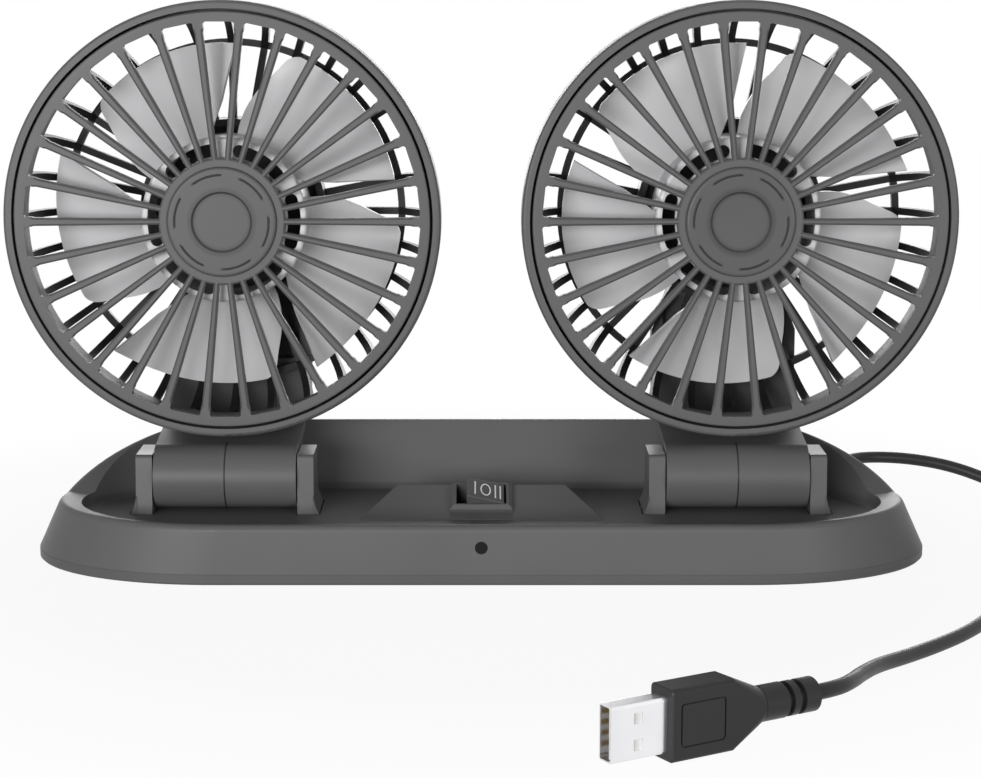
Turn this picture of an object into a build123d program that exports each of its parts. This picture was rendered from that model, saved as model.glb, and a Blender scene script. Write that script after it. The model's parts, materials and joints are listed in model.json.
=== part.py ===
from build123d import *
import os
from math import asin, atan2, cos, degrees, hypot, pi, radians, sin, sqrt, tan

# Dual-head car fan: two caged five-blade fans on tilting arms over a tray-shaped base.
# Millimetres, +Z up, front towards -Y, origin under the middle of the object.

os.makedirs("parts", exist_ok=True)

# Clearances
touch_gap = 0.05  # between pieces that seat on each other
part_gap = 0.35  # between pieces that move past each other
pin_gap = 0.05  # radial, between a pin and its bore

# Heads
head_spacing = 142.1  # between the two fan axes
head_height = 94.0  # fan axis above the table
face_y = -6.0  # front plane of the grilles
cage_r = 60.0  # outside of the cage's rim
seam_r = 57.4  # middle of the dark seam between rim and grille
seam_width = 0.7

# Front grille
grille_thickness = 2.4
grille_open_r = 53.2  # outer end of the slots
grille_root_r = 17.4  # inner end of the slots
spoke_count = 30
spoke_tip_width = 2.3
spoke_root_width = 1.5
spoke_bevel = 0.5
slot_round = 1.7
skirt_wall = 2.0
skirt_depth = 6.5
cap_r = 15.1
cap_thickness = 2.2
cap_proud = 1.0  # how far the cap stands out of the grille's face
cap_dish_r = 8.4
cap_dish_depth = 0.6
cap_mark_r = 12.9  # circle of the six arc grooves
cap_mark_count = 6
cap_mark_angle = 38.0
cap_mark_width = 0.6
cap_mark_depth = 0.4

# Rear cage
rim_depth = 11.5
rim_round = 1.0
rib_count = 32
rib_width = 2.0
rib_height = 2.4
ring_r = 48.2  # middle of the thin ring at the back
ring_width = 2.0
ring_y = 34.6  # middle of that ring, behind the grille's face
cup_r = 26.6  # motor cup
cup_wall = 2.0
cup_front = 29.5  # behind the grille's face, as the next two
cup_back = 39.0
cup_floor = 2.4

# Rotor
blade_count = 5
blade_tip_r = 48.4
blade_thickness = 1.3
blade_camber = 0.14  # of half the chord
# for each blade section: distance from the axis, half width seen from the front, pitch and turn
blade_sections = ((19.5, 12.0, 33.0, -9.0), (34.0, 19.5, 24.0, 1.0), (50.0, 24.5, 18.0, 9.0))
blade_lead = ((23.0, 70.8), (48.4, 53.8))  # radius and angle along the straight edge
blade_trail = ((48.4, 108.5), (47.0, 111.4), (43.0, 114.1), (36.5, 119.2), (23.0, 127.2))
blade_mid_y = 15.5  # middle of the blades, behind the grille's face
rotor_hub_r = 22.9
rotor_wall = 1.6
rotor_face = 5.5
rotor_depth = 19.5
window_in_r = 17.6
window_out_r = 21.2
window_count = 6
window_half = 18.0  # degrees
window_start = 41.5
rest_turn = {"left": 43.0, "right": 40.0}  # how far each rotor stands turned at rest
rotor_boss_r = 3.4
rotor_boss_depth = 9.0
rotor_floor = 1.8
shaft_r = 1.0

# Motor
motor_r = 12.2
motor_length = 14.0
motor_nose_r = 3.5
motor_nose = 1.5
motor_screw_spread = 17.0
motor_screw_r = 0.95
motor_screw_head_r = 1.9
motor_screw_head = 1.0
motor_screw_length = 6.0

# Hinge
hinge_y = -3.5
hinge_z = 22.8
barrel_r = 9.0
barrel_length = 39.5
hinge_pin_r = 2.5
washer_r = 6.5
washer_thickness = 0.9
seam_groove = 0.45
ear_thickness = 4.5
ear_top_z = 29.8
ear_front_low = -12.0
ear_front_high = -10.5
ear_back_high = 6.0
ear_back_low = 6.6
ear_round = 1.2
ear_flare = 1.5
ear_flare_height = 5.0
bracket_foot = 2.0
bracket_margin = 4.5
bracket_screw_r = 1.2
bracket_screw_spacing = 10.0

# Arm
arm_width = 42.0
arm_neck_y = 18.0  # where the neck starts to turn up
arm_neck_top = 34.0
arm_neck_thickness = 4.0
arm_front = 34.0  # front face of the upright part
arm_back = 41.0
arm_bend = 16.0
arm_wide_low = 40.0  # the arm's full width runs between these two heights
arm_wide_high = 58.6
arm_waist_z = 72.5
arm_wall = 2.2
arm_screw_r = 1.2
arm_screw_head_r = 2.3
arm_screw_head = 1.4
arm_screw_sink = 1.6
arm_screw_pcd = 40.0

# Base
base_half_width = 123.8
base_front = -41.0
base_back = 35.4
base_straight = 72.0  # half length of the straight front and back
plate_bottom = 0.6
plate_top = 3.5
end_draft = 0.46  # inward lean of the ends, mm per mm
front_draft = 0.05
back_draft = 0.10
straight_draft = 0.12
wall = 2.2
deck_z = 13.5
lip_z = 16.8
lip_width = 2.0
rim_z = 32.4
rim_rise_front = 2.0  # where the rim starts to rise
rim_rise_back = 28.5
rim_blend_low = 25.0
rim_blend_high = 6.0
dish_half_width = 110.0
dish_back = 22.3
dish_top_half_width = 117.0
dish_top_back = 31.0
dish_straight = 70.0
dish_top_z = 34.0
edge_round = 1.8
dish_round = 3.0

# Switch console and rocker switch
console_front = -19.3
console_back = -4.0
console_front_half = 33.2
console_back_half = 23.4
console_rise = 6.6
console_lift = 0.3
bezel_width = 17.3
bezel_depth = 12.6
bezel_height = 2.0
bezel_bevel = 1.0
switch_body_width = 15.8
switch_body_depth = 11.2
switch_body_height = 9.5
rocker_width = 11.0
rocker_depth = 9.0
rocker_rise = 5.0  # top of the rocker above its pivot
rocker_pivot_drop = 1.5  # pivot below the console's surface
rocker_tilt = 14.0
rocker_pin_r = 0.9
rocker_open_half = 6.9
rocker_pin_reach = 0.8  # beyond the rocker's ends

# Indicator
lens_r = 1.65
lens_z = 10.8
lens_length = 4.0

# Control board
board_length = 64.0
board_depth = 15.0
board_thickness = 1.6
board_y = -29.0
board_z = 5.2

# Feet and base screws
foot_length = 34.0
foot_width = 9.0
foot_x = 74.0
foot_y = 27.0
foot_sink = 0.6
base_screw_x = 84.0
base_screw_y = 16.0
base_screw_r = 1.4
base_screw_head_r = 2.8
base_screw_head = 1.6
base_boss_r = 3.2

# Cord
cord_r = 1.75
boot_length = 13.0
boot_big_r = 3.4
boot_small_r = 2.3
boot_seat = 0.9  # where the boot meets the wall, outside the exit point
exit_x = 100.0
exit_z = 17.0
exit_turn = 25.0  # degrees from straight back towards the right
coil_outer_r = 26.0  # centreline of the outermost turn
coil_x = 186.0
coil_y = 10.0
coil_gap = 0.45  # between neighbouring turns
coil_halves = 7  # half turns wound inwards, and again outwards
tie_width = 4.0
tie_thickness = 0.6

# Plug
plug_tip = (25.1, -187.2)
plug_turn = 31.0
plug_length = 53.0
shell_length = 13.8
shell_width = 12.0
shell_thickness = 4.5
shell_wall = 0.35
grip_end = 29.7
grip_height = 15.6
grip_thickness = 8.0
taper_end = 38.5
relief_r = 3.9
plug_z = 7.8

head_x = head_spacing / 2
grille_r = seam_r - seam_width / 2
rim_in_r = seam_r + seam_width / 2
sides = {"left": -head_x, "right": head_x}


def facing(y):
    """sketch plane seen from the front, y behind the origin"""
    return Plane.XZ.offset(-y)


def save(piece, name, place=Location()):
    """put a piece in its place and write it"""
    solid = piece.part.moved(place)
    solid.label = name
    export_step(solid, "parts/" + name + ".step")


# Front grille: a disc with 30 slots between ridged spokes, a skirt and a seat for the cap
spoke_step = 360 / spoke_count
half_tip = spoke_step / 2 - degrees(asin(spoke_tip_width / 2 / grille_open_r))
half_root = spoke_step / 2 - degrees(asin(spoke_root_width / 2 / grille_root_r))


def polar(r, angle):
    return (r * cos(radians(angle)), r * sin(radians(angle)))


with BuildSketch() as slot:
    with BuildLine():
        Line(polar(grille_root_r, -half_root), polar(grille_open_r, -half_tip))
        ThreePointArc(polar(grille_open_r, -half_tip), (grille_open_r, 0), polar(grille_open_r, half_tip))
        Line(polar(grille_open_r, half_tip), polar(grille_root_r, half_root))
        ThreePointArc(polar(grille_root_r, half_root), (grille_root_r, 0), polar(grille_root_r, -half_root))
    make_face()
    fillet(slot.vertices().group_by(SortBy.DISTANCE)[-1], slot_round)

with BuildPart() as grille:
    with BuildSketch(facing(0)):
        Circle(grille_r)
        with PolarLocations(0, spoke_count, start_angle=spoke_step / 2):
            add(slot.sketch, mode=Mode.SUBTRACT)
    extrude(amount=-grille_thickness)
    front_face = grille.faces().filter_by(Axis.Y).sort_by(Axis.Y)[0]
    slot_edges = [edge for wire in front_face.inner_wires() for edge in wire.edges()]
    chamfer(slot_edges, spoke_bevel)
    fillet(grille.edges().filter_by(GeomType.CIRCLE).sort_by(SortBy.RADIUS)[-2:].sort_by(Axis.Y)[0], 0.5)
    with BuildSketch(facing(grille_thickness)):
        Circle(grille_r)
        Circle(grille_r - skirt_wall, mode=Mode.SUBTRACT)
    extrude(amount=-skirt_depth)
    with BuildSketch(facing(0)):
        Circle(cap_r + touch_gap)
    extrude(amount=-(cap_thickness - cap_proud + touch_gap), mode=Mode.SUBTRACT)

# Hub cap: a shallow dish with six arc grooves
with BuildPart() as cap:
    with BuildSketch(facing(-cap_proud)):
        Circle(cap_r)
    extrude(amount=-cap_thickness)
    fillet(cap.edges().sort_by(Axis.Y)[0], 0.9)
    with BuildSketch(facing(-cap_proud)):
        Circle(cap_dish_r)
    extrude(amount=-cap_dish_depth, taper=45, mode=Mode.SUBTRACT)
    with BuildSketch(facing(-cap_proud)) as marks:
        with BuildLine(mode=Mode.PRIVATE):
            mark = CenterArc((0, 0), cap_mark_r, -cap_mark_angle / 2, cap_mark_angle)
        with PolarLocations(0, cap_mark_count, start_angle=48):
            SlotArc(mark, cap_mark_width)
    extrude(amount=-cap_mark_depth, mode=Mode.SUBTRACT)

# Rear cage: rim, side ribs that bend into back spokes, thin ring and motor cup
rib_in_y = ring_y - ring_width / 2
rib_out_y = rib_in_y + rib_height
ring_in_r = ring_r - ring_width / 2
ring_out_r = ring_r + ring_width / 2
seat_y = grille_thickness + skirt_depth + touch_gap
cup_in_r = cup_r - cup_wall

with BuildPart() as cage:
    with BuildSketch(Plane.XY):
        with BuildLine():
            Polyline((rim_in_r, 0.3), (cage_r, 0.3), (cage_r, rim_depth), (grille_r - skirt_wall, rim_depth),
                     (grille_r - skirt_wall, seat_y), (rim_in_r, seat_y), close=True)
        make_face()
    revolve(axis=Axis.Y)
    fillet(cage.edges().filter_by(GeomType.CIRCLE).sort_by(SortBy.RADIUS)[-2:].sort_by(Axis.Y)[0], rim_round)
    with BuildSketch(Plane.XY) as rib_shape:
        with BuildLine():
            Line((cage_r - 0.4, rim_depth - 1), (cage_r - 4, rim_depth - 1))
            ThreePointArc((cage_r - 4, rim_depth - 1), (54.2, 23.5), (ring_in_r, rib_in_y))
            Line((ring_in_r, rib_in_y), (cup_r - 1, rib_in_y + 1.6))
            Line((cup_r - 1, rib_in_y + 1.6), (cup_r - 1, rib_out_y + 1.6))
            Line((cup_r - 1, rib_out_y + 1.6), (ring_out_r, rib_out_y))
            ThreePointArc((ring_out_r, rib_out_y), (57.2, 24.4), (cage_r - 0.4, rim_depth - 1))
        make_face()
    rib = extrude(amount=rib_width / 2, both=True, mode=Mode.PRIVATE)
    add([rib.rotate(Axis.Y, 360 / rib_count * i) for i in range(rib_count)])
    with BuildSketch(facing(rib_in_y)):
        Circle(ring_out_r)
        Circle(ring_in_r, mode=Mode.SUBTRACT)
    extrude(amount=-ring_width)
    with BuildSketch(Plane.XY):
        with BuildLine():
            Polyline((0, cup_back - cup_floor), (cup_in_r, cup_back - cup_floor), (cup_in_r, cup_front),
                     (cup_r, cup_front), (cup_r, cup_back), (0, cup_back), close=True)
        make_face()
    revolve(axis=Axis.Y)

    with BuildSketch(facing(cup_back)):
        with GridLocations(motor_screw_spread, 1, 2, 1):
            Circle(motor_screw_r + pin_gap)
    extrude(amount=cup_floor, mode=Mode.SUBTRACT)
    with BuildSketch(facing(cup_back)):
        with PolarLocations(arm_screw_pcd / 2, 4, start_angle=45):
            Circle(arm_screw_r)
    extrude(amount=cup_floor, mode=Mode.SUBTRACT)

# Rotor: windowed hub cup with a shaft boss and five pitched blades
blade_root_r = rotor_hub_r - rotor_wall / 2
rotor_back = rotor_face + rotor_depth
bore_r = shaft_r + 0.02


def blade_section(distance, half_width, pitch, turn):
    """cambered slice of a blade, square to a line out from the axis"""
    half = half_width / cos(radians(pitch))
    rise = half * blade_camber
    place = Plane(origin=(0, blade_mid_y, 0), x_dir=(1, 0, 0), z_dir=(0, 0, 1))
    place = place.rotated((0, turn, 0)).offset(distance)
    with BuildSketch(place.rotated((0, 0, -pitch))) as section:
        with BuildLine():
            ThreePointArc((-half, 0), (0, rise), (half, 0))
            Line((half, 0), (half, blade_thickness))
            ThreePointArc((half, blade_thickness), (0, rise + blade_thickness), (-half, blade_thickness))
            Line((-half, blade_thickness), (-half, 0))
        make_face()
    return section.sketch


with BuildPart() as blade:
    loft([blade_section(*section) for section in blade_sections])
    lead = [polar(*place) for place in blade_lead]
    trail = [polar(*place) for place in blade_trail]
    root_end, root_start = polar(blade_root_r, blade_trail[-1][1]), polar(blade_root_r, blade_lead[0][1])
    with BuildSketch(facing(0)):
        with BuildLine():
            Line(root_start, lead[0])
            Line(lead[0], lead[1])
            ThreePointArc(lead[1], polar(blade_tip_r, 81), trail[0])
            Spline(*trail)
            Line(trail[-1], root_end)
            ThreePointArc(root_end, polar(blade_root_r, 99), root_start)
        make_face()
    extrude(amount=-cup_front, mode=Mode.INTERSECT)

with BuildPart() as rotor:
    with BuildSketch(Plane.XY):
        with BuildLine():
            Polyline((bore_r, rotor_face), (rotor_hub_r, rotor_face), (rotor_hub_r, rotor_back),
                     (rotor_hub_r - rotor_wall, rotor_back), (rotor_hub_r - rotor_wall, rotor_face + rotor_floor),
                     (rotor_boss_r, rotor_face + rotor_floor), (rotor_boss_r, rotor_face + rotor_boss_depth),
                     (bore_r, rotor_face + rotor_boss_depth), close=True)
        make_face()
    revolve(axis=Axis.Y)
    fillet(rotor.edges().filter_by(GeomType.CIRCLE).sort_by(SortBy.RADIUS)[-2:].sort_by(Axis.Y)[0], 1.0)
    add([blade.part.rotate(Axis.Y, 360 / blade_count * i) for i in range(blade_count)])
    with BuildSketch(facing(rotor_face - 1)) as windows:
        with BuildLine(mode=Mode.PRIVATE):
            window = CenterArc((0, 0), (window_in_r + window_out_r) / 2, -window_half, 2 * window_half)
        with PolarLocations(0, window_count, start_angle=window_start):
            SlotArc(window, window_out_r - window_in_r)
    extrude(amount=-rotor_floor - 1.5, mode=Mode.SUBTRACT)

# Motor with its shaft, and the screws that hold it in the cup
motor_back = cup_back - cup_floor - touch_gap
motor_front = motor_back - motor_length
with BuildPart() as motor:
    with BuildSketch(facing(motor_front)):
        Circle(motor_r)
    extrude(amount=-motor_length)
    fillet(motor.edges().sort_by(Axis.Y)[0], 1.2)
    with BuildSketch(facing(motor_front - motor_nose)):
        Circle(motor_nose_r)
    extrude(amount=-motor_nose - 1)
    with BuildSketch(facing(motor_front - motor_nose)):
        Circle(shaft_r + pin_gap)
    extrude(amount=-motor_length - motor_nose, mode=Mode.SUBTRACT)
    with BuildSketch(facing(motor_back)):
        with GridLocations(motor_screw_spread, 1, 2, 1):
            Circle(motor_screw_r + pin_gap)
    extrude(amount=motor_screw_length, mode=Mode.SUBTRACT)

with BuildPart() as shaft:
    with BuildSketch(facing(rotor_face + 0.4)):
        Circle(shaft_r)
    extrude(amount=-(motor_back - rotor_face - 1.4))

with BuildPart() as motor_screws:
    with BuildSketch(facing(cup_back)):
        with GridLocations(motor_screw_spread, 1, 2, 1):
            Circle(motor_screw_r)
    extrude(amount=cup_floor + motor_screw_length - 1)
    with BuildSketch(facing(cup_back + 0.02)):
        with GridLocations(motor_screw_spread, 1, 2, 1):
            Circle(motor_screw_head_r)
    extrude(amount=-motor_screw_head)

# Arm: barrel, neck and upright with a round plate behind the motor cup, split down the middle
plate_front = face_y + cup_back + touch_gap
bend_z = arm_neck_top + arm_bend
waist_half = sqrt(cup_r ** 2 - (head_height - arm_waist_z) ** 2)
with BuildPart() as arm:
    with BuildSketch(Plane.YZ):
        with BuildLine():
            Line((hinge_y, hinge_z + barrel_r), (arm_neck_y, arm_neck_top))
            RadiusArc((arm_neck_y, arm_neck_top), (arm_neck_y + arm_bend, bend_z), -arm_bend)
            Line((arm_neck_y + arm_bend, bend_z), (arm_front, head_height + cup_r))
            Line((arm_front, head_height + cup_r), (arm_back, head_height + cup_r))
            Line((arm_back, head_height + cup_r), (arm_back, bend_z + 6))
            EllipticalCenterArc((arm_neck_y, bend_z + 6), arm_back - arm_neck_y,
                                bend_z + 6 - arm_neck_top + arm_neck_thickness, start_angle=-90, arc_size=90)
            Line((arm_neck_y, arm_neck_top - arm_neck_thickness), (hinge_y, hinge_z - 1))
            Line((hinge_y, hinge_z - 1), (hinge_y, hinge_z + barrel_r))
        make_face()
    extrude(amount=arm_width / 2, both=True)
    with BuildSketch(facing(-20)):
        with BuildLine():
            Polyline((-barrel_length / 2, 0), (barrel_length / 2, 0), (barrel_length / 2, hinge_z + barrel_r),
                     (arm_width / 2, arm_wide_low), (arm_width / 2, arm_wide_high), (waist_half, arm_waist_z),
                     (-waist_half, arm_waist_z), (-arm_width / 2, arm_wide_high),
                     (-arm_width / 2, arm_wide_low), (-barrel_length / 2, hinge_z + barrel_r), close=True)
        make_face()
        with Locations((0, head_height)):
            Circle(cup_r)
    extrude(amount=-70, mode=Mode.INTERSECT)
    chamfer(arm.faces().sort_by(Axis.Y)[-1].edges().filter_by(lambda e: e.center().Z > bend_z + 8), 0.9)
    with BuildSketch(facing(arm_front)):
        with Locations((0, (arm_neck_top + arm_bend + arm_waist_z) / 2 - 2)):
            RectangleRounded(arm_width - 2 * arm_wall - 2, arm_waist_z - bend_z - 4, 3)
    extrude(amount=-4.6, mode=Mode.SUBTRACT)
    with BuildSketch(Plane.YZ.offset(-barrel_length / 2)):
        with Locations((hinge_y, hinge_z)):
            Circle(barrel_r)
    extrude(amount=barrel_length)
    with BuildSketch(facing(arm_front - 1)):
        with Locations((0, head_height)):
            Circle(cup_r + 1)
    extrude(amount=-(plate_front - arm_front + 1), mode=Mode.SUBTRACT)
    with BuildSketch(Plane.YZ.offset(-barrel_length / 2)):
        with Locations((hinge_y, hinge_z)):
            Circle(hinge_pin_r + pin_gap)
    extrude(amount=barrel_length, mode=Mode.SUBTRACT)
    for end in (-1, 1):
        with BuildSketch(Plane.YZ.offset(end * barrel_length / 2)):
            with Locations((hinge_y, hinge_z)):
                Circle(washer_r + 0.3)
        extrude(amount=-end * (washer_thickness + 0.2), mode=Mode.SUBTRACT)
    with BuildSketch(Plane.XY.offset(hinge_z)):
        with Locations((0, hinge_y)):
            with BuildLine():
                Polyline((-seam_groove, barrel_r + 0.1), (0, barrel_r - 2 * seam_groove),
                         (seam_groove, barrel_r + 0.1), close=True)
            make_face()
    revolve(axis=Axis((0, hinge_y, hinge_z), (1, 0, 0)), mode=Mode.SUBTRACT)
    with BuildSketch(facing(arm_back)):
        with Locations((0, head_height)):
            with PolarLocations(arm_screw_pcd / 2, 4, start_angle=45):
                Circle(arm_screw_r)
    extrude(amount=arm_back - plate_front + 1, mode=Mode.SUBTRACT)
    with BuildSketch(facing(arm_back)):
        with Locations((0, head_height)):
            with PolarLocations(arm_screw_pcd / 2, 4, start_angle=45):
                Circle(arm_screw_head_r + 0.2)
    extrude(amount=arm_screw_sink, mode=Mode.SUBTRACT)
    with BuildSketch(facing(plate_front)):
        with Locations((0, head_height)):
            with GridLocations(motor_screw_spread, 1, 2, 1):
                Circle(motor_screw_head_r + 0.3)
    extrude(amount=-motor_screw_head - 0.3, mode=Mode.SUBTRACT)

with BuildPart() as arm_left_half:
    add(arm.part)
    split(bisect_by=Plane.YZ, keep=Keep.BOTTOM)
with BuildPart() as arm_right_half:
    add(arm.part)
    split(bisect_by=Plane.YZ, keep=Keep.TOP)

arm_screw_seat = arm_back - arm_screw_sink
with BuildPart() as arm_screws:
    with BuildSketch(facing(arm_screw_seat + touch_gap)):
        with Locations((0, head_height)):
            with PolarLocations(arm_screw_pcd / 2, 4, start_angle=45):
                Circle(arm_screw_head_r)
    extrude(amount=-arm_screw_head)
    with BuildSketch(facing(arm_screw_seat + 0.1)):
        with Locations((0, head_height)):
            with PolarLocations(arm_screw_pcd / 2, 4, start_angle=45):
                Circle(arm_screw_r - 0.1)
    extrude(amount=arm_screw_seat - plate_front + cup_floor)

# Hinge pin, friction washers and the bracket whose ears hold the pin
ear_in = barrel_length / 2 + part_gap
ear_out = ear_in + ear_thickness
bracket_top = deck_z - wall - touch_gap
pin_half = ear_out - 1.0
with BuildPart() as hinge_pin:
    with BuildSketch(Plane.YZ.offset(-pin_half)):
        with Locations((hinge_y, hinge_z)):
            Circle(hinge_pin_r)
    extrude(amount=2 * pin_half)

with BuildPart() as washers:
    for end in (-1, 1):
        with BuildSketch(Plane.YZ.offset(end * (barrel_length / 2 - 0.1))):
            with Locations((hinge_y, hinge_z)):
                Circle(washer_r)
                Circle(hinge_pin_r + pin_gap, mode=Mode.SUBTRACT)
        extrude(amount=-end * washer_thickness)

with BuildPart() as bracket:
    for end in (-1, 1):
        with BuildSketch(Plane.YZ.offset(end * ear_in)) as ear:
            with BuildLine():
                Polyline((ear_front_low, bracket_top - bracket_foot), (ear_front_low, deck_z),
                         (ear_front_high, ear_top_z), (ear_back_high, ear_top_z), (ear_back_low, deck_z),
                         (ear_back_low, bracket_top - bracket_foot), close=True)
            make_face()
            fillet(ear.vertices().group_by(Axis.Z)[-1], ear_round)
        extrude(amount=end * ear_thickness)
        with BuildSketch(facing(ear_front_low)):
            with BuildLine():
                Line((end * (ear_out - 0.5), deck_z), (end * (ear_out + ear_flare), deck_z))
                RadiusArc((end * (ear_out + ear_flare), deck_z), (end * (ear_out - 0.1), deck_z + ear_flare_height),
                          end * 12)
                Line((end * (ear_out - 0.1), deck_z + ear_flare_height), (end * (ear_out - 0.5), deck_z))
            make_face()
        extrude(amount=-(ear_back_low - ear_front_low))
        with BuildSketch(Plane.YZ.offset(end * ear_in)):
            with Locations((hinge_y, hinge_z)):
                Circle(hinge_pin_r + 0.02)
        extrude(amount=end * (pin_half - ear_in + 0.1), mode=Mode.SUBTRACT)
    with BuildSketch(Plane.XY.offset(bracket_top)):
        with Locations((0, (ear_front_low + ear_back_low) / 2)):
            Rectangle(2 * ear_out + 2 * bracket_margin, ear_back_low - ear_front_low)
            with GridLocations(2 * ear_out + bracket_margin, bracket_screw_spacing, 2, 2):
                Circle(bracket_screw_r + 0.1, mode=Mode.SUBTRACT)
    extrude(amount=-bracket_foot)

bracket_middle = (ear_front_low + ear_back_low) / 2
with BuildPart() as bracket_screws:
    with BuildSketch(Plane.XY.offset(bracket_top - bracket_foot - 0.02)):
        with Locations((0, bracket_middle)):
            with GridLocations(2 * ear_out + bracket_margin, bracket_screw_spacing, 2, 2):
                Circle(bracket_screw_r + 0.9)
    extrude(amount=-1.2)
    with BuildSketch(Plane.XY.offset(bracket_top - bracket_foot - 0.1)):
        with Locations((0, bracket_middle)):
            with GridLocations(2 * ear_out + bracket_margin, bracket_screw_spacing, 2, 2):
                Circle(bracket_screw_r)
    extrude(amount=bracket_foot + 1.2)


# Base: a racetrack outline whose ends lean in, hollowed from below and dished from above
def outline(z, half_width, front, back, straight):
    """racetrack with elliptical ends at height z"""
    middle, depth = (front + back) / 2, (back - front) / 2
    with BuildSketch(Plane.XY.offset(z)) as plan:
        with BuildLine():
            Line((-straight, front), (straight, front))
            EllipticalCenterArc((straight, middle), half_width - straight, depth, start_angle=-90, arc_size=180)
            Line((straight, back), (-straight, back))
            EllipticalCenterArc((-straight, middle), half_width - straight, depth, start_angle=90, arc_size=180)
        make_face()
    return plan.sketch


def body_outline(z, inset=0.0):
    """the base's outside at height z, or that outline moved in"""
    rise = z - plate_top
    return outline(z, base_half_width - end_draft * rise - inset, base_front + front_draft * rise + inset,
                   base_back - back_draft * rise - inset, base_straight - straight_draft * rise)


def dish(grow):
    """the tray's hollow, or that hollow grown on all sides"""
    return [outline(deck_z - grow, dish_half_width + grow, base_front + lip_width - grow + 0.4, dish_back + grow,
                    dish_straight),
            outline(dish_top_z, dish_top_half_width + grow, base_front + lip_width - grow + 0.4,
                    dish_top_back + grow, dish_straight)]


def under_rim(drop):
    """side view of what lies under the rim line, which climbs from the front lip to the back"""
    with BuildSketch(Plane.YZ) as side:
        with BuildLine():
            Polyline((base_front - 9, 0), (base_back + 9, 0), (base_back + 9, rim_z - drop),
                     (rim_rise_back, rim_z - drop), (rim_rise_front, lip_z - drop), (base_front - 9, lip_z - drop),
                     close=True)
        make_face()
        fillet(side.vertices().filter_by(lambda v: abs(v.Y - rim_rise_front) < 0.01), rim_blend_low)
        fillet(side.vertices().filter_by(lambda v: abs(v.Y - rim_rise_back) < 0.01), rim_blend_high)
    return side.sketch


hollow_top = rim_z - wall - 2
with BuildPart() as hollow:
    loft([body_outline(plate_top - 1, wall), body_outline(hollow_top, wall)], ruled=True)
    extrude(under_rim(wall), amount=base_half_width, both=True, mode=Mode.INTERSECT)
    loft(dish(wall), ruled=True, mode=Mode.SUBTRACT)

switch_angle = degrees(atan2(console_rise - console_lift, console_back - console_front))
switch_centre = 0.56
switch_origin = (0, console_front + switch_centre * (console_back - console_front),
                 deck_z + console_lift + switch_centre * (console_rise - console_lift))
switch_plane = Plane(origin=switch_origin, x_dir=(1, 0, 0),
                     z_dir=(0, -sin(radians(switch_angle)), cos(radians(switch_angle))))
exit_rise = exit_z - plate_top
exit_a = base_half_width - end_draft * exit_rise - base_straight + straight_draft * exit_rise
exit_s = base_straight - straight_draft * exit_rise
exit_b = (base_back - back_draft * exit_rise - base_front - front_draft * exit_rise) / 2
exit_y = (base_back - back_draft * exit_rise + base_front + front_draft * exit_rise) / 2
exit_y += exit_b * sqrt(1 - ((exit_x - exit_s) / exit_a) ** 2)
exit_dir = Vector(sin(radians(exit_turn)), cos(radians(exit_turn)), 0)
exit_point = Vector(exit_x, exit_y, exit_z)
exit_plane = Plane(origin=exit_point, x_dir=(0, 0, 1), z_dir=exit_dir)
gland_r = boot_small_r + 0.4
screw_places = [(a * base_screw_x, b * base_screw_y) for a in (-1, 1) for b in (-1, 1)]

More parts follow.
